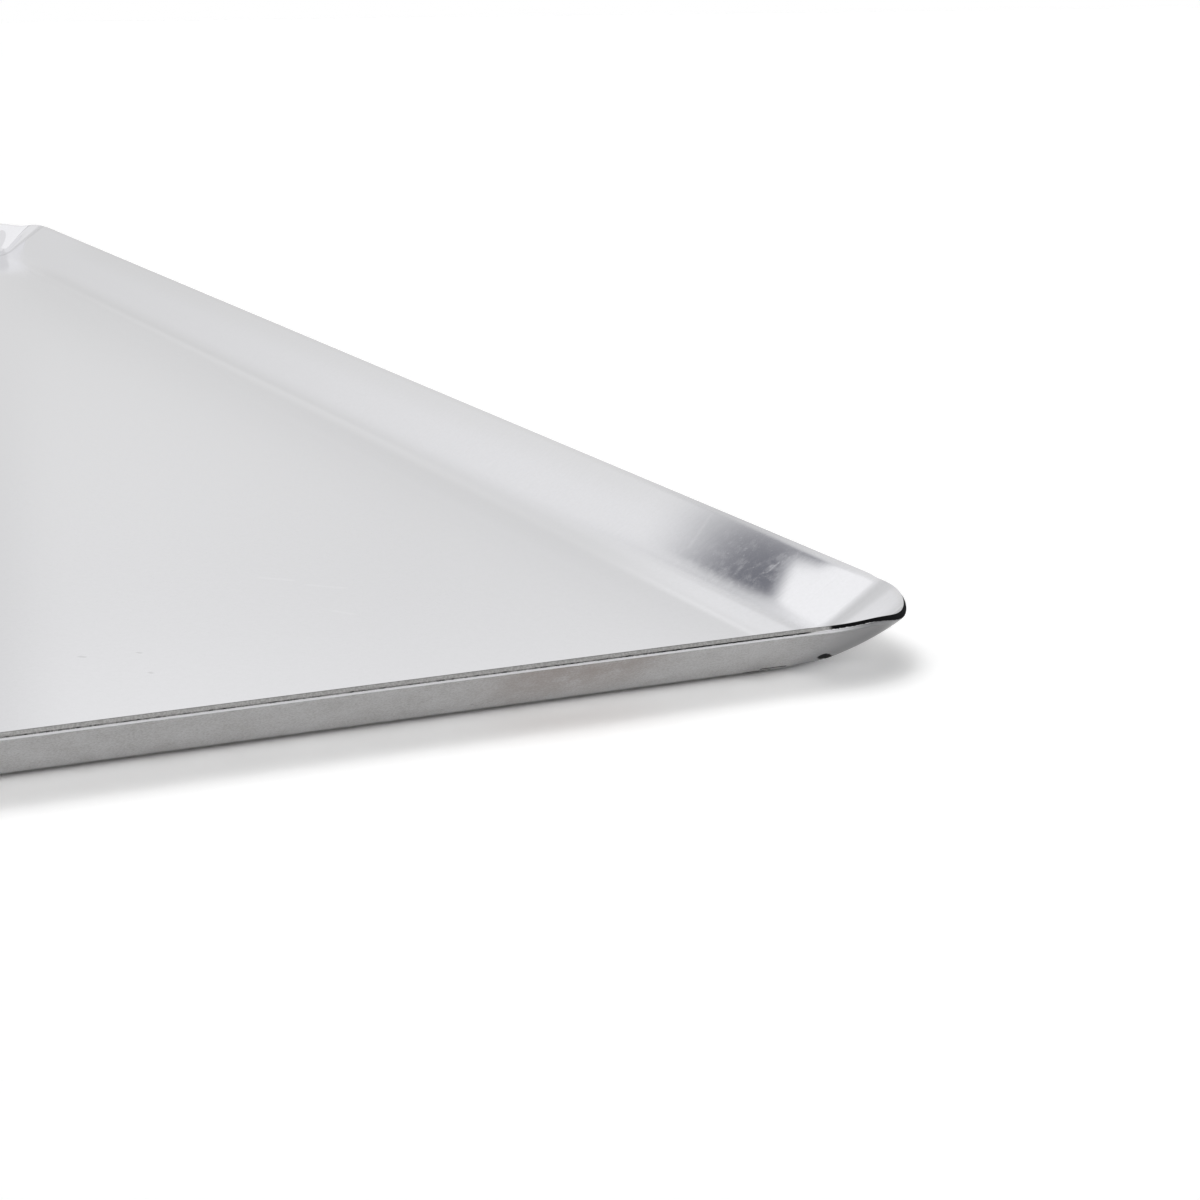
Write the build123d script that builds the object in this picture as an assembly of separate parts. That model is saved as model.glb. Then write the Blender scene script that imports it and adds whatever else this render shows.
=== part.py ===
from build123d import *
from math import cos, pi, radians, sin, tan
import os

# Cookie sheet: one blank of bright stainless sheet, pressed to a flat floor with a low flared rim on
# all four sides and scooped corners. The long sides lie along X, the floor rests on z = 0 and the
# origin is the centre of the underside.

# Driving dimensions, in millimetres and degrees
length = 600.0
width = 400.0
height = 10.0
sheet = 1.0
flare_angle = 34.0
bend_radius = 10.5

# Corners: how far from the meeting point of two sides the rounding starts, at the lip and at the
# floor, how far its flank swells outwards, how far the tip of the lip bends down, and how sharply
# both gather at the tip, which leaves a flatter facet between a crease and the tip on either side
lip_setback = 20.0
floor_setback = 25.0
flank_swell = 1.7
tip_swell = 0.3
tip_dip = 0.9
tip_sharpness = 3

# The shear that cut the blank drew the lower edge of the lip over to this small round
shear_round = 0.25

# How many sections carry each stretch of the pressed form
bend_steps = 6
flare_steps = 4
round_steps = 3
corner_steps = 16

# Where down the flare, as a share of the rim's width, the corner's setback starts to grow
setback_growth_share = 0.4

# Rim section, worked out from the sizes above. A place in it is an inset in plan from the lip, a
# height, and a share of the rim's width: 0 at the lip and 1 where the floor starts.
flare = radians(flare_angle)
outer_bend = bend_radius + sheet
lip_height = height - sheet * cos(flare)
bend_top = outer_bend * (1 - cos(flare))
flare_run = (lip_height - bend_top) / tan(flare)
rim_width = flare_run + outer_bend * sin(flare)

# The round takes this much off the sharp lip, so the sharp lip lies this far outside the finished size
lip_loss = shear_round * (cos(flare) + sin(flare) - 1)
half_length = length / 2 + lip_loss
half_width = width / 2 + lip_loss


def across(depth, turn):
    """Plan and height steps from the outer face through the sheet, where the sheet leans by turn."""
    return depth * sin(turn), depth * cos(turn)


def bend_stations(depth):
    """Floor to flare round the bend, on the face that lies depth above the outer one."""
    found = []
    for step in range(bend_steps + 1):
        turn = flare * step / bend_steps
        inward = rim_width - outer_bend * sin(turn)
        z = outer_bend * (1 - cos(turn))
        plan, rise = across(depth, turn)
        found.append((inward + plan, z + rise, inward / rim_width))
    return found


def flare_stations(depth, start):
    """Up the flat flare from the bend to the lip, stopping start short of it along the slope."""
    found = []
    plan, rise = across(depth, flare)
    end = start * cos(flare)
    for step in range(flare_steps + 1):
        inward = flare_run + (end - flare_run) * step / flare_steps
        z = lip_height - inward * tan(flare)
        found.append((inward + plan, z + rise, inward / rim_width))
    return found


def round_stations():
    """The drawn-over lower edge of the lip, from the flare's outer face to the cut face."""
    found = []
    share = shear_round * cos(flare) / rim_width
    for step in range(round_steps + 1):
        turn = pi / 2 * step / round_steps
        along = shear_round * (1 - sin(turn))
        plan, rise = across(shear_round * (1 - cos(turn)), flare)
        inward = along * cos(flare)
        z = lip_height - along * sin(flare)
        found.append((inward + plan, z + rise, share * (1 - step / round_steps)))
    return found


def setback(share):
    """How far from the meeting point of two sides the corner's rounding starts."""
    growth = max(share - setback_growth_share, 0) / (1 - setback_growth_share)
    return lip_setback + (floor_setback - lip_setback) * growth ** 2


def swell(share):
    """Outward swell of the corner's flank: small at the lip, full halfway down, none at the floor."""
    return tip_swell * (1 - share) * (1 - 2 * share) + flank_swell * 4 * share * (1 - share)


def corner_edge(place, turn_start):
    """The rounded stretch of one section at one corner, swelling and dipping towards its middle."""
    inward, z, share = place
    reach = setback(share)
    sign_x = 1 if cos(turn_start + pi / 4) > 0 else -1
    sign_y = 1 if sin(turn_start + pi / 4) > 0 else -1
    centre_x = sign_x * (half_length - reach)
    centre_y = sign_y * (half_width - reach)
    points = []
    for step in range(corner_steps + 1):
        turn = turn_start + pi / 2 * step / corner_steps
        middle = sin(pi * step / corner_steps) ** (2 * tip_sharpness)
        radius = reach - inward + swell(share) * middle
        drop = tip_dip * (1 - share) ** 2 * middle
        points.append((centre_x + radius * cos(turn), centre_y + radius * sin(turn), z - drop))
    start_along = (-sin(turn_start), cos(turn_start))
    end_along = (-cos(turn_start), -sin(turn_start))
    return Edge.make_spline(points, tangents=[(*start_along, 0), (*end_along, 0)])


def section_wire(place):
    """One whole section of the pressed form, as a closed wire round the sheet."""
    corners = [corner_edge(place, quarter * pi / 2) for quarter in range(4)]
    edges = []
    for number, corner in enumerate(corners):
        following = corners[(number + 1) % len(corners)]
        edges.append(corner)
        edges.append(Edge.make_line(corner @ 1, following @ 0))
    return Wire(edges)


def skin(places, straight=False):
    """The faces that run through a row of sections."""
    return Shell.make_loft([section_wire(place) for place in places], straight).faces()


def make_pressed_sheet():
    """The whole sheet: two floor faces, and the bend, flare and lip on both sides between them."""
    outer_bend_places = bend_stations(0)
    outer_flare_places = flare_stations(0, shear_round)
    round_places = round_stations()
    inner_bend_places = bend_stations(sheet)
    inner_flare_places = flare_stations(sheet, 0)
    cut_places = [round_places[-1], inner_flare_places[-1]]
    faces = [Face(section_wire(outer_bend_places[0])), Face(section_wire(inner_bend_places[0]))]
    for places in (outer_bend_places, outer_flare_places, round_places,
                   inner_bend_places, inner_flare_places):
        faces += skin(places)
    faces += skin(cut_places, straight=True)
    return Solid(Shell(faces))


pressed_sheet = make_pressed_sheet()
pressed_sheet.label = "pressed_sheet"

os.makedirs("parts", exist_ok=True)
export_step(pressed_sheet, "parts/pressed_sheet.step")
print("rim width in plan", round(rim_width, 2), "flat flare", round(flare_run, 2))
print("solid valid", pressed_sheet.is_valid, "volume", round(pressed_sheet.volume))
print("size", pressed_sheet.bounding_box().size)
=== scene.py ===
from math import cos, pi, radians, sin, tan

import bpy
import numpy as np
from mathutils import Matrix, Vector


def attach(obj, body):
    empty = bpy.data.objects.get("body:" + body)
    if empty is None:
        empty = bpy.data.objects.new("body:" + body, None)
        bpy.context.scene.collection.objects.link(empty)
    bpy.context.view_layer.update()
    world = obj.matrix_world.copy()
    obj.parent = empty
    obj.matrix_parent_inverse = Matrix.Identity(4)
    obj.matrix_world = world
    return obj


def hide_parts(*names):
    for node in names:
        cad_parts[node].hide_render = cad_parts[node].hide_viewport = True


# Cookie sheet: one pressed sheet of bright stainless steel. The CAD frame is loaded first, and the
# dressed piece follows the same sizes with more sections, the bands that shearing leaves on the free
# edge, and the step where the sheared sides meet the punched corners. Sizes are in millimetres until
# the mesh is made.
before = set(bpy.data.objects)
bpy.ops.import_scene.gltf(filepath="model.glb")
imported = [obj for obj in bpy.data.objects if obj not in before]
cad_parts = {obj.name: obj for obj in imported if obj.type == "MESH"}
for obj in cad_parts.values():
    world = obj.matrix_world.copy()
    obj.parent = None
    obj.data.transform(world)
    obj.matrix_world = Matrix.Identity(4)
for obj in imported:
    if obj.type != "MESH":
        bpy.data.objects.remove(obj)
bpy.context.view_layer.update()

MM = 0.001

# Sizes of the pressed form, as in the CAD source
LENGTH = 600.0
WIDTH = 400.0
HEIGHT = 10.0
SHEET = 1.0
FLARE = radians(34.0)
BEND_RADIUS = 10.5
LIP_SETBACK = 20.0
FLOOR_SETBACK = 25.0
SETBACK_GROWTH_SHARE = 0.4
FLANK_SWELL = 1.7
TIP_SWELL = 0.3
TIP_DIP = 0.9
TIP_SHARPNESS = 3
SHEAR_ROUND = 0.25

# Rim section worked out from them
OUTER_BEND = BEND_RADIUS + SHEET
LIP_HEIGHT = HEIGHT - SHEET * cos(FLARE)
BEND_TOP = OUTER_BEND * (1 - cos(FLARE))
FLARE_RUN = (LIP_HEIGHT - BEND_TOP) / tan(FLARE)
RIM_WIDTH = FLARE_RUN + OUTER_BEND * sin(FLARE)
LIP_LOSS = SHEAR_ROUND * (cos(FLARE) + sin(FLARE) - 1)
HALF_LENGTH = LENGTH / 2 + LIP_LOSS
HALF_WIDTH = WIDTH / 2 + LIP_LOSS

# The bend eases in and out, so it is longer than an arc of the CAD's radius by this factor
BEND_EASE = 1.28
BEND_LENGTH = OUTER_BEND * FLARE * BEND_EASE

# The flare is not quite flat: its middle stands this far off the straight line from bend to lip
FLARE_BOW = 0.03

# The punched corners are cut back by an inset and have a larger round. A step leads to them between
# two distances along the lip from where the corner's rounding starts. The inset fades out down the
# flare, and also towards the corner's tip, between two more distances.
PUNCH_INSET = 0.2
PUNCH_ROUND = 0.45
STEP_NEAR = 1.0
STEP_FAR = 4.6
INSET_FADE = 2.5
TIP_NEAR = -14.0
TIP_FAR = -5.0

# Numbers of sections and columns, and their spacings. The path of the bend is summed up in finer
# steps, PATH_FINENESS of them from one section to the next.
BEND_STEPS = 28
PATH_FINENESS = 20
FLARE_STEPS = 8
LIP_CROWDING = 1.4
ROUND_STEPS = 4
CUT_STEPS = 3
CORNER_STEPS = 40
FINE_SPACING = 0.6
FINE_STRETCH = 6.0
COARSE_SPACING = 4.0
FLOOR_RINGS = (0.4, 1.5, 4.0)

# What rounding may take off a spacing, and the shortest length that is divided by
SPACING_SLACK = 1e-6
SHORTEST = 1e-9

# The attributes' values on the flat floor: past the section's end, and far from any corner
FLOOR_WAY = 40.0
FLOOR_AWAY = 100.0


def across(depth, turn):
    """Plan and height steps from the outer face through the sheet, where the sheet leans by turn."""
    return depth * sin(turn), depth * cos(turn)


class Station:
    """One place in the rim's section, with the signed way along the section from the lip's top edge."""

    def __init__(self, inward, z, share, way, cut_weight):
        self.inward = inward
        self.z = z
        self.share = share
        self.way = way
        self.cut_weight = cut_weight


def bend_path():
    """The outer face round the bend as (turn, inward, z) from the floor to the flare."""
    fine = BEND_STEPS * PATH_FINENESS
    turns = [FLARE * (1 - cos(pi * (step + 0.5) / fine)) / 2 for step in range(fine)]
    plan = np.cumsum([0] + [cos(turn) for turn in turns]) * BEND_LENGTH / fine
    rise = np.cumsum([0] + [sin(turn) for turn in turns]) * BEND_LENGTH / fine
    flare_foot = LIP_HEIGHT / tan(FLARE)
    start = flare_foot + plan[-1] - rise[-1] / tan(FLARE)
    path = []
    for step in range(BEND_STEPS + 1):
        turn = FLARE * (1 - cos(pi * step / BEND_STEPS)) / 2
        place = step * PATH_FINENESS
        path.append((turn, start - plan[place], rise[place]))
    return path


def bend_stations(depth, sign):
    """Floor to flare round the bend, on the face that lies depth above the outer one."""
    found = []
    path = bend_path()
    flare_length = path[-1][1] / cos(FLARE)
    for step, (turn, inward, z) in enumerate(path):
        plan, rise = across(depth, turn)
        left = BEND_LENGTH * (1 - step / BEND_STEPS) - depth * (FLARE - turn)
        way = sign * (flare_length + left) - (SHEET if sign < 0 else 0)
        share = min(inward / RIM_WIDTH, 1.0)
        found.append(Station(inward + plan, z + rise, share, way, 0.0))
    return found


def flare_stations(depth, start, sign):
    """Up the flare from just above the bend to start short of the lip, bowed by a hair."""
    found = []
    plan, rise = across(depth, FLARE)
    end = start * cos(FLARE)
    run = bend_path()[-1][1]
    for step in range(1, FLARE_STEPS + 1):
        part = 1 - (1 - step / FLARE_STEPS) ** LIP_CROWDING
        inward = run + (end - run) * part
        bow = FLARE_BOW * sin(pi * inward / run)
        along = inward / cos(FLARE)
        z = LIP_HEIGHT - inward * tan(FLARE) - bow
        weight = max(0.0, 1 - (along - start) / INSET_FADE)
        way = sign * along - (SHEET if sign < 0 else 0)
        found.append(Station(inward + plan, z + rise, inward / RIM_WIDTH, way, weight))
    return found


def round_stations(radius):
    """The drawn-over lower edge of the lip, from the flare's outer face to the cut face."""
    found = []
    full_share = radius * cos(FLARE) / RIM_WIDTH
    for step in range(1, ROUND_STEPS + 1):
        turn = pi / 2 * step / ROUND_STEPS
        along = radius * (1 - sin(turn))
        depth = radius * (1 - cos(turn))
        plan, rise = across(depth, FLARE)
        inward = along * cos(FLARE)
        z = LIP_HEIGHT - along * sin(FLARE)
        share = full_share * (1 - step / ROUND_STEPS)
        found.append(Station(inward + plan, z + rise, share, -SHEET + depth - along, 1.0))
    return found


def cut_stations(radius):
    """Up the cut face from the round to the lip's top edge."""
    found = []
    for step in range(1, CUT_STEPS + 1):
        depth = radius + (SHEET - radius) * step / CUT_STEPS
        plan, rise = across(depth, FLARE)
        found.append(Station(plan, LIP_HEIGHT + rise, 0.0, depth - SHEET, 1.0))
    return found


def rim_stations(radius):
    """The whole section: up the outer face, over the cut edge and down the inner face."""
    found = bend_stations(0, -1)
    found += flare_stations(0, radius, -1)
    found += round_stations(radius)
    found += cut_stations(radius)
    found += flare_stations(SHEET, 0, 1)[::-1][1:]
    found += bend_stations(SHEET, 1)[::-1]
    return found


def setback(share):
    """How far from the meeting point of two sides the corner's rounding starts."""
    growth = max(share - SETBACK_GROWTH_SHARE, 0) / (1 - SETBACK_GROWTH_SHARE)
    return LIP_SETBACK + (FLOOR_SETBACK - LIP_SETBACK) * growth ** 2


def swell(share):
    """Outward swell of the corner's flank: small at the lip, full halfway down, none at the floor."""
    return TIP_SWELL * (1 - share) * (1 - 2 * share) + FLANK_SWELL * 4 * share * (1 - share)


def side_places(span):
    """Places along one straight side, fine next to both corners, as shares of its length."""
    fine = list(np.arange(FINE_SPACING, FINE_STRETCH + SPACING_SLACK, FINE_SPACING))
    middle = span - 2 * FINE_STRETCH
    count = round(middle / COARSE_SPACING)
    coarse = [FINE_STRETCH + middle * step / count for step in range(1, count)]
    far = [span - place for place in reversed(fine)]
    return np.array(fine + coarse + far) / span


def smooth_step(value, low, high):
    """Smooth change from 0 to 1 as value goes from low to high."""
    part = np.clip((value - low) / (high - low), 0, 1)
    return part * part * (3 - 2 * part)


class Columns:
    """The columns that every ring shares: four corners, and the four sides between them."""

    def __init__(self):
        self.corner = np.linspace(0, 1, CORNER_STEPS + 1)
        self.sides = [side_places(span) for span in (
            LENGTH - 2 * LIP_SETBACK, WIDTH - 2 * LIP_SETBACK)]
        away_parts = []
        along = []
        travelled = 0.0
        for quarter in range(4):
            arc = LIP_SETBACK * pi / 2
            away_parts.append(-arc * np.minimum(self.corner, 1 - self.corner))
            along.append(travelled + self.corner * arc)
            travelled += arc
            span = (LENGTH if quarter % 2 == 0 else WIDTH) - 2 * LIP_SETBACK
            places = self.sides[quarter % 2] * span
            away_parts.append(np.minimum(places, span - places))
            along.append(travelled + places)
            travelled += span
        self.away = np.concatenate(away_parts)
        self.along = np.concatenate(along)
        self.punched = 1 - smooth_step(self.away, STEP_NEAR, STEP_FAR)
        self.inset = self.punched * smooth_step(self.away, TIP_NEAR, TIP_FAR)


def ring(station, columns):
    """One whole section of the pressed form as an array of points."""
    reach = setback(station.share)
    bulge = swell(station.share)
    corners = []
    for quarter in range(4):
        start = quarter * pi / 2
        sign_x = 1 if cos(start + pi / 4) > 0 else -1
        sign_y = 1 if sin(start + pi / 4) > 0 else -1
        centre_x = sign_x * (HALF_LENGTH - reach)
        centre_y = sign_y * (HALF_WIDTH - reach)
        turn = start + pi / 2 * columns.corner
        middle = np.sin(pi * columns.corner) ** (2 * TIP_SHARPNESS)
        radius = reach - station.inward + bulge * middle
        drop = TIP_DIP * (1 - station.share) ** 2 * middle
        corners.append(np.stack([
            centre_x + radius * np.cos(turn),
            centre_y + radius * np.sin(turn),
            station.z - drop,
        ], axis=1))
    points = []
    for quarter in range(4):
        following = corners[(quarter + 1) % 4]
        places = columns.sides[quarter % 2][:, None]
        points.append(corners[quarter])
        points.append(corners[quarter][-1] * (1 - places) + following[0] * places)
    points = np.concatenate(points)
    return cut_back(points, station, columns)


def cut_back(points, station, columns):
    """Draws the lip back down the slope where the corner was punched."""
    if station.cut_weight <= 0:
        return points
    back = PUNCH_INSET * station.cut_weight * columns.inset
    inner_x = np.clip(points[:, 0], -HALF_LENGTH + LIP_SETBACK, HALF_LENGTH - LIP_SETBACK)
    inner_y = np.clip(points[:, 1], -HALF_WIDTH + LIP_SETBACK, HALF_WIDTH - LIP_SETBACK)
    towards = np.stack([inner_x, inner_y], axis=1) - points[:, :2]
    lengths = np.linalg.norm(towards, axis=1)
    towards = towards / np.maximum(lengths, SHORTEST)[:, None]
    moved = points.copy()
    moved[:, :2] += towards * (back * cos(FLARE))[:, None]
    moved[:, 2] -= back * sin(FLARE)
    return moved


def quad_bands(rings):
    """Faces between neighbouring rings, facing out of the sheet."""
    faces = []
    for lower, upper in zip(rings, rings[1:]):
        count = len(lower)
        for number in range(count):
            following = (number + 1) % count
            faces.append((lower[number], lower[following], upper[following], upper[number]))
    return faces


class Sheet:
    """Collects the vertices and faces of the whole piece."""

    def __init__(self):
        self.points = []
        self.ways = []
        self.away = []
        self.along = []
        self.faces = []

    def add_ring(self, points, ways, columns):
        """Adds one ring of points and gives back their numbers."""
        first = len(self.points)
        self.points.extend(points.tolist())
        self.ways.extend(np.broadcast_to(ways, len(points)).tolist())
        self.away.extend(columns.away.tolist())
        self.along.extend(columns.along.tolist())
        return list(range(first, first + len(points)))

    def add_point(self, point, way):
        """Adds one point of the flat floor and gives back its number."""
        self.points.append(point)
        self.ways.append(way)
        self.away.append(FLOOR_AWAY)
        self.along.append(0.0)
        return len(self.points) - 1


def floor_ring(extra, z, columns):
    """A ring of the flat floor, extra further in than where the bend starts."""
    station = Station(bend_path()[0][1] + extra, z, 1.0, 0.0, 0.0)
    return ring(station, columns)


def floor_grid(sheet, z, way, columns):
    """Points over the floor between its corners, in rows along the long sides."""
    half_x = HALF_LENGTH - FLOOR_SETBACK
    half_y = HALF_WIDTH - FLOOR_SETBACK
    side_x, side_y = columns.sides
    grid = []
    for part_y in np.concatenate([[0], 1 - side_y[::-1], [1]]):
        row = []
        for part_x in np.concatenate([[0], 1 - side_x[::-1], [1]]):
            x = -half_x + 2 * half_x * part_x
            y = -half_y + 2 * half_y * part_y
            row.append(sheet.add_point([x, y, z], way))
        grid.append(row)
    return grid


def grid_faces(grid):
    """One face in every field of the grid."""
    faces = []
    for lower, upper in zip(grid, grid[1:]):
        for number in range(len(lower) - 1):
            faces.append((lower[number], lower[number + 1], upper[number + 1], upper[number]))
    return faces


def border_faces(grid, border):
    """A fan at each corner and a strip along each side, from the grid to the floor's last ring."""
    top = grid[-1][::-1]
    left = [row[0] for row in reversed(grid)]
    bottom = grid[0]
    right = [row[-1] for row in grid]
    faces = []
    position = 0
    for edge in (top, left, bottom, right):
        for number in range(position, position + CORNER_STEPS):
            faces.append((edge[0], border[number], border[number + 1]))
        position += CORNER_STEPS
        for number, (here, following) in enumerate(zip(edge, edge[1:]), position):
            faces.append((here, border[number], border[(number + 1) % len(border)], following))
        position += len(edge) - 1
    return faces


def fill_floor(sheet, border, z, way, columns, upward):
    """Fills the floor inside its last ring."""
    grid = floor_grid(sheet, z, way, columns)
    faces = grid_faces(grid) + border_faces(grid, border)
    if not upward:
        faces = [tuple(reversed(face)) for face in faces]
    sheet.faces.extend(faces)


def build_sheet():
    """The whole pressed sheet as one closed mesh with the section's coordinates as attributes."""
    columns = Columns()
    sheet = Sheet()
    lip_edge = None
    rings = []
    for extra in reversed(FLOOR_RINGS):
        rings.append(sheet.add_ring(floor_ring(extra, 0.0, columns), -FLOOR_WAY, columns))
    for sheared, punched in zip(rim_stations(SHEAR_ROUND), rim_stations(PUNCH_ROUND)):
        share = columns.punched[:, None]
        points = ring(sheared, columns) * (1 - share) + ring(punched, columns) * share
        ways = sheared.way * (1 - columns.punched) + punched.way * columns.punched
        rings.append(sheet.add_ring(points, ways, columns))
        if sheared.way == 0.0:
            lip_edge = rings[-1]
    for extra in FLOOR_RINGS:
        rings.append(sheet.add_ring(floor_ring(extra, SHEET, columns), FLOOR_WAY, columns))
    sheet.faces.extend(quad_bands(rings))
    fill_floor(sheet, rings[0], 0.0, -FLOOR_WAY, columns, upward=False)
    fill_floor(sheet, rings[-1], SHEET, FLOOR_WAY, columns, upward=True)
    mesh = bpy.data.meshes.new("pressed_sheet_visual")
    mesh.from_pydata([[value * MM for value in point] for point in sheet.points], [], sheet.faces)
    mesh.polygons.foreach_set("use_smooth", [True] * len(mesh.polygons))
    for name, values in (("section_way", sheet.ways), ("corner_away", sheet.away),
                         ("rim_along", sheet.along)):
        attribute = mesh.attributes.new(name, "FLOAT", "POINT")
        attribute.data.foreach_set("value", values)
    mark_sharp(mesh, set(lip_edge))
    mesh.validate()
    mesh.update()
    piece = bpy.data.objects.new("pressed_sheet_visual", mesh)
    bpy.context.scene.collection.objects.link(piece)
    return piece


def mark_sharp(mesh, members):
    """Marks the ring of edges whose two ends are both members as sharp."""
    attribute = mesh.attributes.new("sharp_edge", "BOOLEAN", "EDGE")
    flags = [edge.vertices[0] in members and edge.vertices[1] in members for edge in mesh.edges]
    attribute.data.foreach_set("value", flags)


class Nodes:
    """Short ways to add nodes to one tree.

    The mix node has inputs and an output of its own for each kind of value, which share their names,
    so they are taken by number.
    """

    def __init__(self, tree):
        self.tree = tree

    def add(self, kind, **settings):
        """A new node with these settings."""
        node = self.tree.nodes.new(kind)
        for name, value in settings.items():
            setattr(node, name, value)
        return node

    def put(self, socket, value):
        """Links a socket, or sets a plain value."""
        if isinstance(value, bpy.types.NodeSocket):
            self.tree.links.new(value, socket)
        else:
            socket.default_value = value

    def math(self, operation, *values):
        """One operation on numbers."""
        node = self.add("ShaderNodeMath", operation=operation)
        for socket, value in zip(node.inputs, values):
            self.put(socket, value)
        return node.outputs[0]

    def smooth(self, value, low, high, start=0.0, end=1.0):
        """Smooth change from start to end as value goes from low to high."""
        node = self.add("ShaderNodeMapRange", interpolation_type="SMOOTHSTEP")
        for name, item in (("Value", value), ("From Min", low), ("From Max", high),
                           ("To Min", start), ("To Max", end)):
            self.put(node.inputs[name], item)
        return node.outputs["Result"]

    def fall(self, value, low, high):
        """Smooth change from 1 to 0 as value goes from low to high."""
        return self.smooth(value, low, high, 1.0, 0.0)

    def mix(self, factor, first, second):
        """Between two numbers: the first where the factor is 0, the second where it is 1."""
        node = self.add("ShaderNodeMix", data_type="FLOAT")
        self.put(node.inputs[0], factor)
        self.put(node.inputs[2], first)
        self.put(node.inputs[3], second)
        return node.outputs[0]

    def mix_color(self, factor, first, second):
        """Between two colours, as mix does with numbers."""
        node = self.add("ShaderNodeMix", data_type="RGBA")
        self.put(node.inputs[0], factor)
        self.put(node.inputs[6], first)
        self.put(node.inputs[7], second)
        return node.outputs[2]

    def times(self, *values):
        """The product of any number of values."""
        product = values[0]
        for value in values[1:]:
            product = self.math("MULTIPLY", product, value)
        return product

    def between(self, value, low, high, soft):
        """1 where value lies between low and high, with soft borders around both."""
        half = soft / 2
        above = self.smooth(value, low - half, low + half)
        below = self.fall(value, high - half, high + half)
        return self.math("MULTIPLY", above, below)

    def noise(self, vector, scale, detail, roughness):
        """A noise pattern, around 0.5."""
        node = self.add("ShaderNodeTexNoise")
        self.put(node.inputs["Vector"], vector)
        node.inputs["Scale"].default_value = scale
        node.inputs["Detail"].default_value = detail
        node.inputs["Roughness"].default_value = roughness
        return node.outputs["Fac"]

    def vector(self, x, y, z):
        """A vector put together from three numbers."""
        node = self.add("ShaderNodeCombineXYZ")
        for socket, value in zip(node.inputs, (x, y, z)):
            self.put(socket, value)
        return node.outputs[0]

    def vector_math(self, operation, *values):
        """One operation on vectors."""
        node = self.add("ShaderNodeVectorMath", operation=operation)
        for socket, value in zip(node.inputs, values):
            self.put(socket, value)
        return node.outputs["Value" if operation in ("LENGTH", "DOT_PRODUCT") else "Vector"]

    def stroke(self, place, start, end, width):
        """1 on a short straight stroke from start to end, fading to 0 over its width."""
        span = Vector(end) - Vector(start)
        from_start = self.vector_math("SUBTRACT", place, start)
        part = self.vector_math("DOT_PRODUCT", from_start, tuple(span / span.length_squared))
        part = self.math("MINIMUM", self.math("MAXIMUM", part, 0.0), 1.0)
        nearest = self.add("ShaderNodeVectorMath", operation="SCALE")
        nearest.inputs[0].default_value = span
        self.put(nearest.inputs["Scale"], part)
        off = self.vector_math("SUBTRACT", from_start, nearest.outputs[0])
        distance = self.vector_math("LENGTH", off)
        return self.fall(distance, 0.0, width)

    def attribute(self, name):
        """One of the mesh's own coordinates."""
        return self.add("ShaderNodeAttribute", attribute_name=name).outputs["Fac"]


def new_material(name):
    """A new material, its nodes and its shader."""
    material = bpy.data.materials.new(name)
    material.use_nodes = True
    return material, Nodes(material.node_tree), material.node_tree.nodes["Principled BSDF"]


def grey(value):
    """A neutral colour."""
    return (value, value, value, 1.0)


# Colours of the steel and of what lies on it; some of them are painted shade and painted dark
# reflection, as marked
STEEL = (0.715, 0.715, 0.737, 1.0)
# Painted shade for the creases beside the corners' tips
STEEL_CREASE_SHADE = (0.57, 0.57, 0.585, 1.0)
# Outer face steel, darker than the inner: partly a duller underside, partly painted shade from the
# shadowed table it faces
STEEL_OUTSIDE_DULL_AND_SHADE = (0.64, 0.64, 0.645, 1.0)
STEEL_STAINED = (0.38, 0.37, 0.36, 1.0)
# Painted shade for the outer edge at the corners
STEEL_CORNER_SHADE = (0.25, 0.25, 0.258, 1.0)
STEEL_BROWNED = (0.39, 0.345, 0.325, 1.0)
STEEL_RUBBED = grey(0.6)
STEEL_DULL = grey(0.5)
# Painted shade for the lower part of the bend
STEEL_PRESSED_SHADE = grey(0.42)
# Painted shade: the dark line where the outer face meets the table
CONTACT_SHADE = (0.11, 0.095, 0.09, 1.0)
SPECK_DARK = grey(0.15)
CUT_GREY = (0.34, 0.335, 0.33, 1.0)
CUT_PALE = (0.50, 0.495, 0.49, 1.0)
# Painted shade: the dark line along the top of the cut, standing for the shadow under the burr
CUT_TOP_SHADE = grey(0.12)
# Painted dark reflection: the burnished band of the cut is coloured near black, standing in for the
# dark studio that it mirrors
CUT_BLACK_REFLECTION = (0.004, 0.004, 0.0045, 1.0)
LIGHT_MARK = grey(0.95)
DARK_MARK = grey(0.2)
OUTER_MARK = grey(0.02)

# Roughness of each part, the gloss of what is black, and the depth of the hairlines in metres
FLOOR_ROUGHNESS = 0.09
RIM_ROUGHNESS = 0.02
BEND_ROUGHNESS = 0.12
LIP_ROUGHNESS = 0.2
OUTSIDE_ROUGHNESS = 0.16
CUT_ROUGHNESS = 0.5
BLACK_ROUGHNESS = 0.6
CREASE_ROUGHNESS = 0.2
PRESSED_ROUGHNESS = 0.2
MARK_ROUGHNESS = 0.45
BLACK_GLOSS = 0.02
DRAW_DEPTH = 0.00000015

# Borders down the section, as where a change starts and ends, in millimetres: 0 is the lip's top
# edge, the inner face is positive, and the cut and the outer face are negative
FACE_BORDER = (-0.02, 0.02)
OUTER_BORDER = (-1.3, -1.15)
CUT_TOP = (-0.02, 0.0)
CUT_TOP_LINE = (-0.14, -0.04)
LIP_BAND = (0.1, 1.4)
RUBBED_BAND = (1.0, 8.0)
TOUCHED_START = (0.5, 3.0)
TOUCHED_END = (11.0, 14.0)
FLARE_TO_BEND = (10.0, 13.0)
BEND_TO_FLOOR = (15.0, 19.0)
RIM_SPAN = (0.0, 19.0)
RIM_SOFTNESS = 4.0
CONTACT_SHADE_BORDER = (-17.4, -16.2)
CORNER_SHADE_BORDER = (-0.5, -0.35)
CORNER_FOOT_AT_TIP = -1.15

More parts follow.
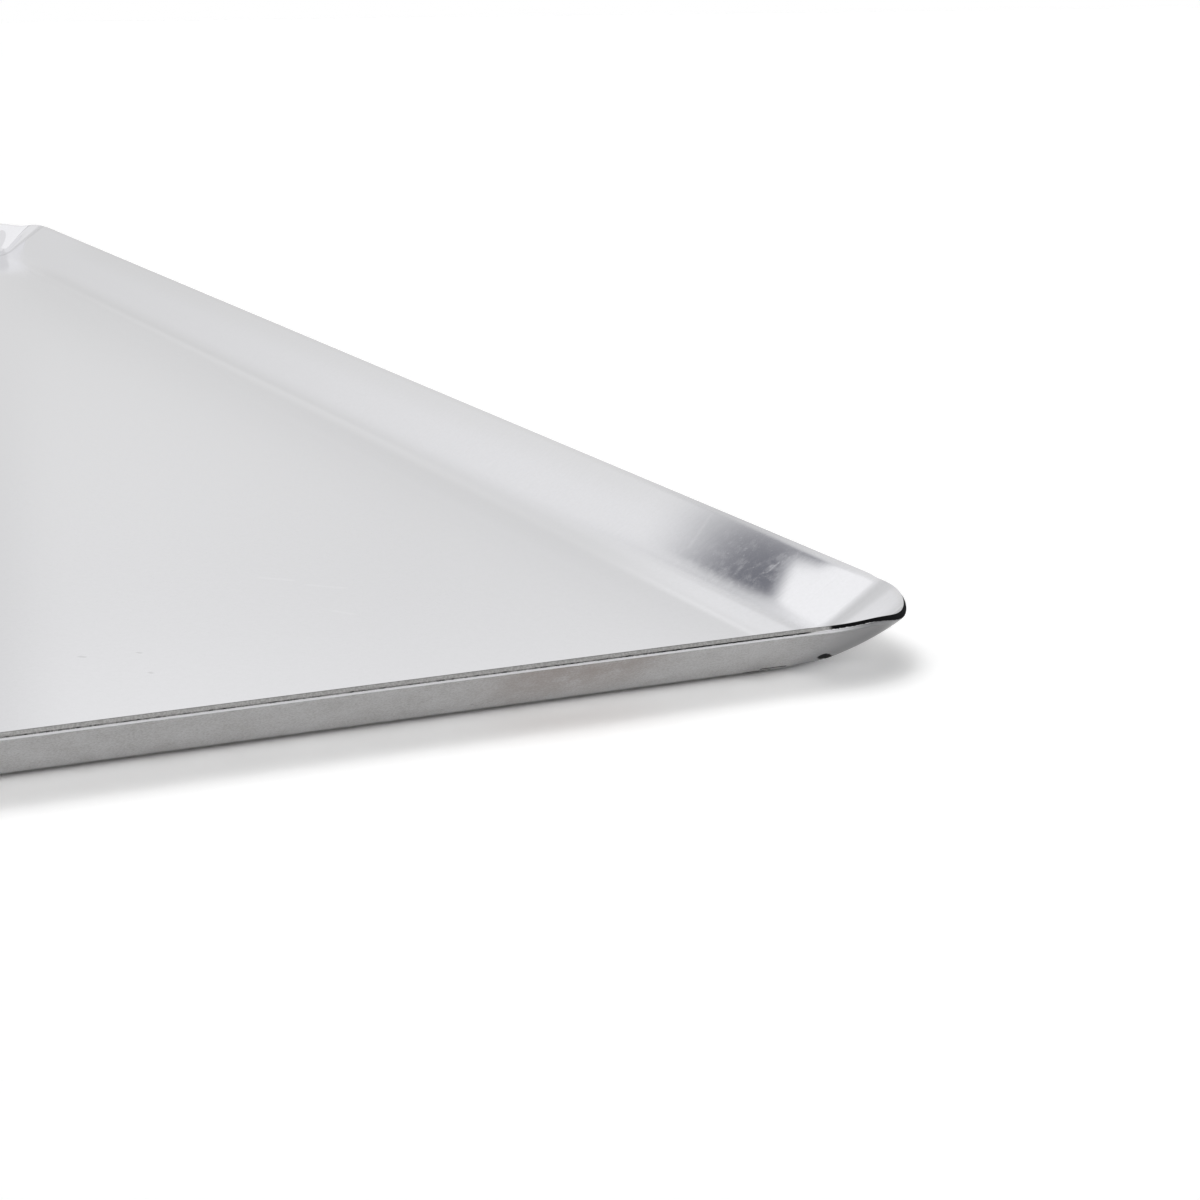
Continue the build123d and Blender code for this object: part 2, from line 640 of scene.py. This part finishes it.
# Borders up from the foot of the cut, in millimetres
CUT_FOOT = (-0.04, 0.03)
CORNER_FOOT = (-0.04, 0.04)
BLACK_LINE = (0.14, 0.26)

# Borders along the lip in millimetres: 0 is where a corner's rounding starts, the straight side is
# positive, and the corner is negative
LINE_START = (3.2, 4.6)
LINE_FADING = (12.0, 45.0)
BLACK_CORNER_END = (0.2, 1.2)
CORNER_FOOT_RISE = (-16.0, -6.0)
CREASE_SPAN = (-4.6, 0.6)
CREASE_SOFTNESS = 3.0
TOUCHED_SPAN = (21.0, 60.0)
TOUCHED_SOFTNESS = 12.0
RUBBED_GROWTH = (35.0, 90.0)
CORNER_SHADE_FADING = (-7.0, 1.5)

# Borders in plan, in millimetres from the sides of the sheet
PRESSED_START = (10.5, 14.5)
PRESSED_END = (17.0, 24.0)
PRESSED_GROWTH = (45.0, 100.0)

# Noise patterns, each as scale per millimetre, detail and roughness
BLOTCHES = (0.28, 4.0, 0.6)
MOTTLE = (3.0, 2.0, 0.6)
SPECKS = (1.7, 2.0, 0.5)
GRAIN = (5.0, 2.0, 0.5)
CLOUD = (1.4, 4.0, 0.65)
DUST = (4.2, 3.0, 0.75)
TOUCHED_CLOUDS = (0.55, 4.0, 0.6)
TOUCHED_DOTS = (1.2, 1.0, 0.5)
CUT_TONE = (3.4, 3.0, 0.7)
CUT_RAGGED = (1.6, 4.0, 0.75)
LINE_BROKEN = (1.1, 4.0, 0.7)
CORNER_TORN = (2.4, 3.0, 0.8)

# The hairlines are a stretched noise: its scale per millimetre across and along them, its
# roughness, and its detail in the colour and in the relief
HAIRLINE_ACROSS = 1.6
HAIRLINE_ALONG = 0.12
HAIRLINE_ROUGHNESS = 0.7
HAIRLINE_DETAIL = 4.0
HAIRLINE_RELIEF_DETAIL = 1.0

# What the patterns become, as where a change starts and ends, and if given its two results
STAIN_LEVELS = (0.45, 1.05)
SPECK_LEVELS = (0.68, 0.76, 0.0, 0.45)
BROWNED_LEVELS = (0.35, 0.6, 0.3, 1.0)
HAIRLINE_LEVELS = (0.3, 0.8, 0.0, 0.12)
GRAIN_LEVELS = (0.35, 0.7, 0.0, 0.06)
CLOUD_LEVELS = (0.35, 0.65, 0.0, 0.06)
DUST_LEVELS = (0.52, 0.7, 0.0, 0.05)
TOUCHED_CLOUD_LEVELS = (0.42, 0.7, 0.0, 0.07)
TOUCHED_DOT_LEVELS = (0.64, 0.8, 0.0, 0.12)
CUT_TONE_LEVELS = (0.35, 0.65)
LINE_BROKEN_LEVELS = (0.2, 0.5, 0.45, 1.0)
OUTER_MARK_LEVELS = (0.15, 0.55)

# How much of each pattern goes into a sum or a shift, and how strongly each mask shows
STAIN_FROM_BLOTCHES = 0.5
STAIN_FROM_MOTTLE = 0.9
BROWNED_FROM_EACH = 0.5
CORNER_SHADE_FROM_MOTTLE = 0.3
RAGGED_REACH = 0.2
TORN_REACH = 0.5
LINE_FADED = 0.2
CUT_TOP_SHADE_SHOWS = 0.55
CONTACT_SHADE_SHOWS = 0.75
LIP_SHOWS = 0.4
RUBBED_SHOWS = 0.4
CREASE_SHADE_SHOWS = 0.9
PRESSED_SHADE_SHOWS = 0.3
LIGHT_MARK_SHOWS = 0.1
LIGHT_MARK_DULLS = 0.05
DARK_MARK_SHOWS = 0.25

# Rows of the noise in which the three patterns along the rim lie, so that they differ
RAGGED_ROW = 0.0
BROKEN_ROW = 3.0
TORN_ROW = 7.0

# Handling marks, each as a start, an end and a width, in millimetres from the meeting point of the
# two sides at the corner that the camera looks at
LIGHT_MARKS = (
    ((72.4, 1.8), (68.6, 7.6), 0.9),
    ((55.4, 4.3), (55.3, 4.4), 0.9),
    ((51.6, 7.5), (51.4, 7.7), 0.9),
    ((51.2, 8.1), (51.1, 8.3), 0.8),
    ((55.6, 2.9), (55.5, 3.0), 0.8),
    ((45.4, 5.1), (45.3, 5.2), 0.6),
    ((45.6, 6.9), (44.6, 6.1), 0.4),
    ((44.6, 6.1), (44.6, 4.3), 0.4),
    ((95.0, 72.5), (91.0, 68.5), 0.9),
    ((87.0, 67.0), (82.5, 62.5), 0.9),
    ((69.5, 68.5), (66.5, 66.5), 0.9),
)
DARK_MARKS = (
    ((60.7, 110.0), (60.2, 109.6), 0.7),
    ((59.2, 101.9), (58.9, 101.7), 0.6),
    ((48.3, 103.0), (47.9, 102.9), 0.6),
)
OUTER_STAINS = (
    ((2.0, 52.0), (2.0, 61.0), 13.0),
)
OUTER_MARKS = (
    ((10.0, 16.2), (11.0, 15.4), 1.15),
    ((10.4, 15.4), (11.4, 14.4), 0.9),
    ((11.3, 25.3), (11.4, 21.4), 0.35),
    ((12.4, 27.5), (12.4, 23.4), 0.4),
)


class Places:
    """The coordinates and zones that the steel's patterns share, in millimetres."""

    def __init__(self, nodes):
        self.way = nodes.attribute("section_way")
        self.away = nodes.attribute("corner_away")
        self.along = nodes.attribute("rim_along")
        self.place = self.object_place(nodes)
        corner = nodes.vector_math("ADD", self.place, (LENGTH / 2, WIDTH / 2, 0.0))
        self.from_corner = nodes.vector_math("MULTIPLY", corner, (1.0, 1.0, 0.0))
        self.from_side, self.from_other_side = self.side_distances(nodes)
        self.inside = nodes.smooth(self.way, *FACE_BORDER)
        self.outside = nodes.fall(self.way, *OUTER_BORDER)
        self.on_rim = nodes.between(self.way, *RIM_SPAN, RIM_SOFTNESS)
        self.near_lip = nodes.fall(self.way, *LIP_BAND)

    def object_place(self, nodes):
        """The place on the object in millimetres."""
        scaled = nodes.add("ShaderNodeVectorMath", operation="SCALE")
        nodes.put(scaled.inputs[0], nodes.add("ShaderNodeTexCoord").outputs["Object"])
        scaled.inputs["Scale"].default_value = 1 / MM
        return scaled.outputs[0]

    def side_distances(self, nodes):
        """How far in plan the nearest side of the sheet is, and the nearest one across from it."""
        parts = nodes.add("ShaderNodeSeparateXYZ")
        nodes.put(parts.inputs[0], self.place)
        from_end = nodes.math("SUBTRACT", HALF_LENGTH, nodes.math("ABSOLUTE", parts.outputs[0]))
        from_flank = nodes.math("SUBTRACT", HALF_WIDTH, nodes.math("ABSOLUTE", parts.outputs[1]))
        return nodes.math("MINIMUM", from_end, from_flank), nodes.math("MAXIMUM", from_end, from_flank)


def marks(nodes, places, strokes):
    """All strokes of one kind as one mask."""
    found = None
    for start, end, width in strokes:
        mask = nodes.stroke(places.from_corner, (*start, 0.0), (*end, 0.0), width)
        found = mask if found is None else nodes.math("MAXIMUM", found, mask)
    return found


def shaken_way(nodes, places, row, pattern, reach):
    """The way down the section, shaken over reach by a pattern that runs along the rim."""
    noise = nodes.noise(nodes.vector(places.along, row, 0.0), *pattern)
    shift = nodes.math("MULTIPLY", nodes.math("SUBTRACT", noise, 0.5), reach)
    return nodes.math("ADD", places.way, shift)


def cut_masks(nodes, places):
    """The cut edge's bands: the whole flat of the cut, and its burnished part, painted black as a dark
    reflection.
    """
    below_top = nodes.fall(places.way, *CUT_TOP)
    foot = nodes.smooth(places.away, STEP_NEAR, STEP_FAR, PUNCH_ROUND - SHEET, SHEAR_ROUND - SHEET)
    way = shaken_way(nodes, places, RAGGED_ROW, CUT_RAGGED, RAGGED_REACH)
    over_foot = nodes.math("SUBTRACT", way, foot)
    cut = nodes.times(nodes.smooth(over_foot, *CUT_FOOT), below_top)
    line = black_line(nodes, places, cut, over_foot)
    corner = black_corner(nodes, places, below_top)
    return nodes.math("MAXIMUM", cut, corner), nodes.math("MAXIMUM", line, corner)


def black_line(nodes, places, cut, over_foot):
    """The burnished line along the sheared sides, broken here and there, painted black as a dark
    reflection.
    """
    line = nodes.fall(over_foot, *BLACK_LINE)
    broken = nodes.noise(nodes.vector(places.along, BROKEN_ROW, 0.0), *LINE_BROKEN)
    fading = nodes.smooth(places.away, *LINE_FADING, 0.0, LINE_FADED)
    broken = nodes.smooth(nodes.math("SUBTRACT", broken, fading), *LINE_BROKEN_LEVELS)
    return nodes.times(cut, line, broken, nodes.smooth(places.away, *LINE_START))


def black_corner(nodes, places, below_top):
    """The black band round the corner, torn along its foot and widest at the tip: a painted dark
    reflection on the burnished cut.
    """
    foot = nodes.smooth(places.away, *CORNER_FOOT_RISE, CORNER_FOOT_AT_TIP, PUNCH_ROUND - SHEET)
    way = shaken_way(nodes, places, TORN_ROW, CORNER_TORN, TORN_REACH)
    over_foot = nodes.math("SUBTRACT", way, foot)
    return nodes.times(
        nodes.smooth(over_foot, *CORNER_FOOT),
        below_top,
        nodes.fall(places.away, *BLACK_CORNER_END))


def crease_mask(nodes, places):
    """The two creases beside each corner's tip, which the press dulled; the colour darkens along them
    as painted shade.
    """
    return nodes.times(nodes.between(places.away, *CREASE_SPAN, CREASE_SOFTNESS), places.inside)


def bend_mask(nodes, places):
    """The lower part of the bend along the sides, rubbed dull by the press, fading into the floor,
    where the colour is darkened as painted shade.
    """
    return nodes.times(
        nodes.smooth(places.from_side, *PRESSED_START),
        nodes.fall(places.from_side, *PRESSED_END),
        nodes.smooth(places.from_other_side, *PRESSED_GROWTH),
        places.inside)


def touched_mask(nodes, places):
    """Clouds and dots that handling left on the rim beside the corners."""
    clouds = nodes.smooth(nodes.noise(places.place, *TOUCHED_CLOUDS), *TOUCHED_CLOUD_LEVELS)
    dots = nodes.smooth(nodes.noise(places.place, *TOUCHED_DOTS), *TOUCHED_DOT_LEVELS)
    return nodes.times(
        nodes.math("MAXIMUM", clouds, dots),
        nodes.smooth(places.way, *TOUCHED_START),
        nodes.fall(places.way, *TOUCHED_END),
        nodes.between(places.away, *TOUCHED_SPAN, TOUCHED_SOFTNESS))


def hairlines(nodes, places, detail):
    """Hairlines that the press drew up the rim's slope."""
    across_rim = nodes.math("MULTIPLY", places.along, HAIRLINE_ACROSS)
    up_rim = nodes.math("MULTIPLY", places.way, HAIRLINE_ALONG)
    return nodes.noise(nodes.vector(across_rim, up_rim, 0.0), 1.0, detail, HAIRLINE_ROUGHNESS)


def inside_color(nodes, places):
    """Colour of the inner face: hairlines, rubbed zones, painted shade in the creases and along the
    lower bend, grain and handling marks.
    """
    lines = nodes.smooth(hairlines(nodes, places, HAIRLINE_DETAIL), *HAIRLINE_LEVELS)
    color = nodes.mix_color(lines, STEEL, STEEL_RUBBED)
    lip = nodes.times(places.near_lip, places.inside, LIP_SHOWS)
    color = nodes.mix_color(lip, color, STEEL_RUBBED)
    rubbed = nodes.times(
        nodes.fall(places.way, *RUBBED_BAND),
        nodes.smooth(places.away, *RUBBED_GROWTH),
        places.inside,
        RUBBED_SHOWS)
    color = nodes.mix_color(rubbed, color, STEEL_RUBBED)
    # Painted shade along the creases
    color = nodes.mix_color(nodes.times(crease_mask(nodes, places), CREASE_SHADE_SHOWS), color, STEEL_CREASE_SHADE)
    # Painted shade along the lower bend
    color = nodes.mix_color(nodes.times(bend_mask(nodes, places), PRESSED_SHADE_SHOWS), color, STEEL_PRESSED_SHADE)
    grain = nodes.smooth(nodes.noise(places.place, *GRAIN), *GRAIN_LEVELS)
    cloud = nodes.smooth(nodes.noise(places.place, *CLOUD), *CLOUD_LEVELS)
    color = nodes.mix_color(nodes.math("ADD", grain, cloud), color, STEEL_DULL)
    scratches = nodes.times(marks(nodes, places, LIGHT_MARKS), LIGHT_MARK_SHOWS)
    color = nodes.mix_color(scratches, color, LIGHT_MARK)
    spots = nodes.times(marks(nodes, places, DARK_MARKS), DARK_MARK_SHOWS)
    return nodes.mix_color(spots, color, DARK_MARK)


def outside_color(nodes, places, mottle):
    """Colour of the outer face: stains, specks and a browned patch, and painted contact shade from its
    foot down.
    """
    blotches = nodes.noise(places.place, *BLOTCHES)
    stained = nodes.math(
        "ADD",
        nodes.math("MULTIPLY", blotches, STAIN_FROM_BLOTCHES),
        nodes.math("MULTIPLY", mottle, STAIN_FROM_MOTTLE))
    color = nodes.mix_color(nodes.smooth(stained, *STAIN_LEVELS), STEEL_OUTSIDE_DULL_AND_SHADE, STEEL_STAINED)
    specks = nodes.smooth(nodes.noise(places.place, *SPECKS), *SPECK_LEVELS)
    color = nodes.mix_color(specks, color, SPECK_DARK)
    browned = nodes.math(
        "ADD",
        nodes.math("MULTIPLY", mottle, BROWNED_FROM_EACH),
        nodes.math("MULTIPLY", blotches, BROWNED_FROM_EACH))
    browned = nodes.smooth(browned, *BROWNED_LEVELS)
    browned = nodes.times(browned, marks(nodes, places, OUTER_STAINS))
    color = nodes.mix_color(browned, color, STEEL_BROWNED)
    # Painted contact shade along the foot of the outer face
    contact_shade = nodes.times(nodes.fall(places.way, *CONTACT_SHADE_BORDER), CONTACT_SHADE_SHOWS)
    return nodes.mix_color(contact_shade, color, CONTACT_SHADE)


def face_color(nodes, places):
    """Colour of the faces, with painted shade darkening the corner's outer edge."""
    mottle = nodes.noise(places.place, *MOTTLE)
    inside = inside_color(nodes, places)
    outside = outside_color(nodes, places, mottle)
    color = nodes.mix_color(places.outside, inside, outside)
    # Painted shade: the outer edge at each corner is darkened where it would mirror the shadowed table
    way = nodes.math("ADD", places.way, nodes.times(mottle, CORNER_SHADE_FROM_MOTTLE))
    corner_shade = nodes.times(
        nodes.fall(places.away, *CORNER_SHADE_FADING),
        nodes.fall(way, *CORNER_SHADE_BORDER))
    return nodes.mix_color(corner_shade, color, STEEL_CORNER_SHADE)


def cut_color(nodes, places, cut):
    """Colour of the cut: grey and pale by turns, with a dark line along its top that is painted shade
    under the burr.
    """
    tone = nodes.noise(places.place, *CUT_TONE)
    color = nodes.mix_color(nodes.smooth(tone, *CUT_TONE_LEVELS), CUT_GREY, CUT_PALE)
    # Painted shade under the burr, along the cut's top
    top_shade = nodes.times(cut, nodes.smooth(places.way, *CUT_TOP_LINE), CUT_TOP_SHADE_SHOWS)
    return nodes.mix_color(top_shade, color, CUT_TOP_SHADE)


def steel_roughness(nodes, places, cut, black):
    """Roughness of the faces, of the cut, and of what lies on them."""
    to_floor = nodes.smooth(places.way, *BEND_TO_FLOOR, 0.0, FLOOR_ROUGHNESS - BEND_ROUGHNESS)
    rough = nodes.smooth(places.way, *FLARE_TO_BEND, RIM_ROUGHNESS, BEND_ROUGHNESS)
    rough = nodes.math("ADD", rough, to_floor)
    rough = nodes.mix(nodes.times(places.near_lip, places.on_rim), rough, LIP_ROUGHNESS)
    rough = nodes.mix(places.outside, rough, OUTSIDE_ROUGHNESS)
    rough = nodes.mix(crease_mask(nodes, places), rough, CREASE_ROUGHNESS)
    rough = nodes.mix(bend_mask(nodes, places), rough, PRESSED_ROUGHNESS)
    scratches = nodes.times(marks(nodes, places, LIGHT_MARKS), LIGHT_MARK_DULLS)
    dust = nodes.smooth(nodes.noise(places.place, *DUST), *DUST_LEVELS)
    dusty = nodes.times(nodes.math("ADD", dust, scratches), places.inside)
    rough = nodes.mix(dusty, rough, MARK_ROUGHNESS)
    rough = nodes.mix(touched_mask(nodes, places), rough, MARK_ROUGHNESS)
    rough = nodes.mix(cut, rough, CUT_ROUGHNESS)
    return nodes.mix(black, rough, BLACK_ROUGHNESS)


def hairline_relief(nodes, places):
    """The hairlines as a very shallow relief on the rim."""
    bump = nodes.add("ShaderNodeBump")
    bump.inputs["Distance"].default_value = DRAW_DEPTH
    bump.inputs["Strength"].default_value = 1.0
    lines = hairlines(nodes, places, HAIRLINE_RELIEF_DETAIL)
    nodes.put(bump.inputs["Height"], nodes.times(lines, places.on_rim))
    return bump.outputs[0]


def make_steel():
    """Bright stainless steel, dulled where it was pressed and handled, with painted shade at its
    creases, lower bends, outer corners and foot, and painted black where it was cut as a dark
    reflection.
    """
    material, nodes, shader = new_material("bright_stainless_visual")
    places = Places(nodes)
    cut, cut_black_reflection = cut_masks(nodes, places)
    outer_marks = nodes.smooth(marks(nodes, places, OUTER_MARKS), *OUTER_MARK_LEVELS)
    outer_marks = nodes.math("MULTIPLY", outer_marks, places.outside)
    color = nodes.mix_color(cut, face_color(nodes, places), cut_color(nodes, places, cut))
    # The burnished band turns near black here: a painted dark reflection
    color = nodes.mix_color(cut_black_reflection, color, CUT_BLACK_REFLECTION)
    color = nodes.mix_color(outer_marks, color, OUTER_MARK)
    black = nodes.math("MAXIMUM", cut_black_reflection, outer_marks)
    nodes.put(shader.inputs["Base Color"], color)
    nodes.put(shader.inputs["Metallic"], nodes.math("SUBTRACT", 1.0, black))
    shader.inputs["Specular IOR Level"].default_value = BLACK_GLOSS
    nodes.put(shader.inputs["Roughness"], steel_roughness(nodes, places, cut, black))
    nodes.put(shader.inputs["Normal"], hairline_relief(nodes, places))
    return material


# The table's shade for light, for the eye and in the steel, its size in metres, and the world's
# even share of the light
TABLE_PLAIN = 0.8
TABLE_SEEN = 1.22
TABLE_MIRRORED = 1.0
TABLE_SIZE = 8.0
WORLD_PLAIN = 0.12

# Lamps as (name, height and turn in degrees, spread in degrees, share of the table's light)
LAMPS = (
    ("overhead", 66.0, 90.0, 32.0, 0.19),
    ("overhead_near", 66.0, 135.0, 32.0, 0.155),
    ("overhead_far", 66.0, 0.0, 32.0, 0.095),
    ("front", 28.0, 182.0, 32.0, 0.205),
    ("side", 12.0, 268.0, 32.0, 0.065),
)

# The studio that the steel mirrors, by height over the table and turn round it, both in degrees.
# A change is given as where it starts and ends, and where needed by the two levels.
FAR_LOW = (2.0, 14.0, 0.74, 0.93)
FAR_HIGH = (13.5, 18.0, 0.0, 0.12)
FAR_LEAN_START = -14.0
FAR_LEAN = 0.006
FAR_LEAN_LIMIT = -0.035
SKYLINE_LEAN = 0.52
SKYLINE = (0.64, 1.94, 0.085, 0.0)
SIDE = (9.0, 28.0, 0.80, 1.03)
ASIDE_TURN = (-12.3, -9.5)
ASIDE_HEIGHT = (17.5, 21.0)
GREY_BAND_HEIGHT = (29.0, 31.0)
GREY_BAND_TURN = (-4.0, 0.0)
GREY_BAND = 0.17
BEHIND_HEIGHT = (36.0, 62.0)
BEHIND_SOFTNESS = 5.0
BEHIND_AHEAD = (-0.35, -0.1)
BEHIND_LEVEL = 0.35

# In it, a dark gap beside a bright soft box, whose border leans from a height upwards
GAP_HEIGHT = (28.3, 31.3)
GAP_TURN = (2.0, 3.15)
GAP_FADING = (3.15, 3.8, 1.0, 0.25)
GAP_COLOR = (0.27, 0.275, 0.31, 1.0)
BOX_HEIGHT = (31.65, 32.2)
BOX_TURN = (2.77, 3.06)
BOX_LEAN_START = 32.6
BOX_LEAN = 0.35
BOX_LEVEL = 1.21


def ray_kinds(nodes):
    """Whether a ray comes from the camera, and whether it was mirrored or let through."""
    path = nodes.add("ShaderNodeLightPath")
    mirrored = nodes.math("MAXIMUM", path.outputs["Is Glossy Ray"], path.outputs["Is Transmission Ray"])
    return path.outputs["Is Camera Ray"], mirrored


def make_table():
    """White table: plain for light, white for the camera and for reflections, with its shadows."""
    material, nodes, shader = new_material("table_white")
    nodes.tree.nodes.remove(shader)
    output = nodes.tree.nodes["Material Output"]
    seen, mirrored = ray_kinds(nodes)
    tone = nodes.mix_color(mirrored, grey(TABLE_PLAIN), grey(TABLE_MIRRORED))
    tone = nodes.mix_color(seen, tone, grey(TABLE_SEEN))
    diffuse = nodes.add("ShaderNodeBsdfDiffuse")
    nodes.put(diffuse.inputs["Color"], tone)
    nodes.put(output.inputs["Surface"], diffuse.outputs[0])
    return material


def far_level(nodes, height, turn):
    """The far side of the studio, which the floor mirrors: lighter upwards, darker at its skyline."""
    level = nodes.math("ADD", nodes.smooth(height, *FAR_LOW), nodes.smooth(height, *FAR_HIGH))
    lean = nodes.math("MULTIPLY", nodes.math("SUBTRACT", turn, FAR_LEAN_START), FAR_LEAN)
    lean = nodes.math("MINIMUM", nodes.math("MAXIMUM", lean, FAR_LEAN_LIMIT), 0.0)
    level = nodes.math("ADD", level, lean)
    above_skyline = nodes.math("ADD", height, nodes.times(turn, SKYLINE_LEAN))
    return nodes.math("SUBTRACT", level, nodes.smooth(above_skyline, *SKYLINE))


def studio_level(nodes, height, turn, ahead):
    """How bright the studio is by height and turn in degrees, as the steel mirrors it."""
    aside = nodes.math("MAXIMUM", nodes.smooth(turn, *ASIDE_TURN), nodes.smooth(height, *ASIDE_HEIGHT))
    level = nodes.mix(aside, far_level(nodes, height, turn), nodes.smooth(height, *SIDE))
    grey_band = nodes.times(
        nodes.smooth(height, *GREY_BAND_HEIGHT),
        nodes.smooth(turn, *GREY_BAND_TURN),
        GREY_BAND)
    level = nodes.math("MULTIPLY", level, nodes.math("SUBTRACT", 1.0, grey_band))
    behind = nodes.times(
        nodes.between(height, *BEHIND_HEIGHT, BEHIND_SOFTNESS),
        nodes.fall(ahead, *BEHIND_AHEAD))
    return nodes.mix(behind, level, BEHIND_LEVEL)


def gap_mask(nodes, height, turn):
    """The dark gap beside the soft box."""
    return nodes.times(
        nodes.smooth(height, *GAP_HEIGHT),
        nodes.smooth(turn, *GAP_TURN),
        nodes.smooth(turn, *GAP_FADING))


def box_mask(nodes, height, turn):
    """The bright soft box, whose border leans."""
    over = nodes.math("MAXIMUM", nodes.math("SUBTRACT", height, BOX_LEAN_START), 0.0)
    aside = nodes.math("ADD", turn, nodes.times(over, BOX_LEAN))
    return nodes.times(nodes.smooth(height, *BOX_HEIGHT), nodes.smooth(aside, *BOX_TURN))


def make_world():
    """White for the camera, an even pale light, and the studio where the steel mirrors it."""
    world = bpy.data.worlds.new("studio")
    bpy.context.scene.world = world
    world.use_nodes = True
    nodes = Nodes(world.node_tree)
    nodes.tree.nodes.clear()
    parts = nodes.add("ShaderNodeSeparateXYZ")
    nodes.put(parts.inputs[0], nodes.add("ShaderNodeTexCoord").outputs["Generated"])
    x, y, z = parts.outputs
    height = nodes.math("MULTIPLY", nodes.math("ARCSINE", z), 180 / pi)
    turn = nodes.math("MULTIPLY", nodes.math("ARCTAN2", y, x), 180 / pi)
    box = box_mask(nodes, height, turn)
    color = nodes.mix_color(gap_mask(nodes, height, turn), grey(1.0), GAP_COLOR)
    color = nodes.mix_color(box, color, grey(1.0))
    level = nodes.mix(box, studio_level(nodes, height, turn, x), BOX_LEVEL)
    seen, mirrored = ray_kinds(nodes)
    strength = nodes.mix(mirrored, WORLD_PLAIN, level)
    strength = nodes.mix(seen, strength, 1.0)
    color = nodes.mix_color(mirrored, grey(1.0), color)
    background = nodes.add("ShaderNodeBackground")
    nodes.put(background.inputs["Color"], color)
    nodes.put(background.inputs["Strength"], strength)
    output = nodes.add("ShaderNodeOutputWorld")
    nodes.put(output.inputs["Surface"], background.outputs[0])


def make_stage():
    """The table that the sheet lies on."""
    bpy.ops.mesh.primitive_plane_add(size=TABLE_SIZE, location=(0, 0, 0))
    table = bpy.context.object
    table.name = "table"
    table.data.materials.append(make_table())


def add_lamp(name, height, turn, spread, share):
    """A broad soft light from far away, which lights the table while the steel mirrors the studio."""
    data = bpy.data.lights.new(name, "SUN")
    flat = cos(radians(height))
    away = Vector((flat * cos(radians(turn)), flat * sin(radians(turn)), sin(radians(height))))
    data.angle = radians(spread)
    data.energy = share * pi / away.z
    lamp = bpy.data.objects.new(name, data)
    lamp.rotation_euler = away.to_track_quat("Z", "Y").to_euler()
    lamp.visible_glossy = False
    bpy.context.scene.collection.objects.link(lamp)


# The camera: its place in millimetres, its axes, and its sensor and lens in millimetres
CAMERA_PLACE = (-579.487, -15.805, 97.398)
CAMERA_RIGHT = (-0.419268, -0.907858, -0.002953)
CAMERA_UP = (0.226774, -0.107877, 0.967955)
CAMERA_BACK = (-0.879084, 0.405163, 0.251108)
SENSOR = 36.0
LENS = 73.46

# What the camera sees starts and ends at these distances in metres
CAMERA_NEAR = 0.01
CAMERA_FAR = 50.0


def make_camera():
    """The camera at the photograph's place and angle."""
    data = bpy.data.cameras.new("camera")
    data.sensor_width = SENSOR
    data.lens = LENS
    data.clip_start = CAMERA_NEAR
    data.clip_end = CAMERA_FAR
    camera = bpy.data.objects.new("camera", data)
    turn = Matrix((CAMERA_RIGHT, CAMERA_UP, CAMERA_BACK)).transposed().to_4x4()
    camera.matrix_world = Matrix.Translation(Vector(CAMERA_PLACE) * MM) @ turn
    bpy.context.scene.collection.objects.link(camera)
    bpy.context.scene.camera = camera


piece = build_sheet()
piece.data.materials.append(make_steel())
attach(piece, "root")
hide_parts("pressed_sheet")
make_stage()
make_world()
for lamp_settings in LAMPS:
    add_lamp(*lamp_settings)
make_camera()
bpy.context.scene.view_settings.view_transform = "Standard"

# Light that the polished underside of the rim throws on the table stays as sharp as it is mirrored
bpy.context.scene.cycles.blur_glossy = 0.0
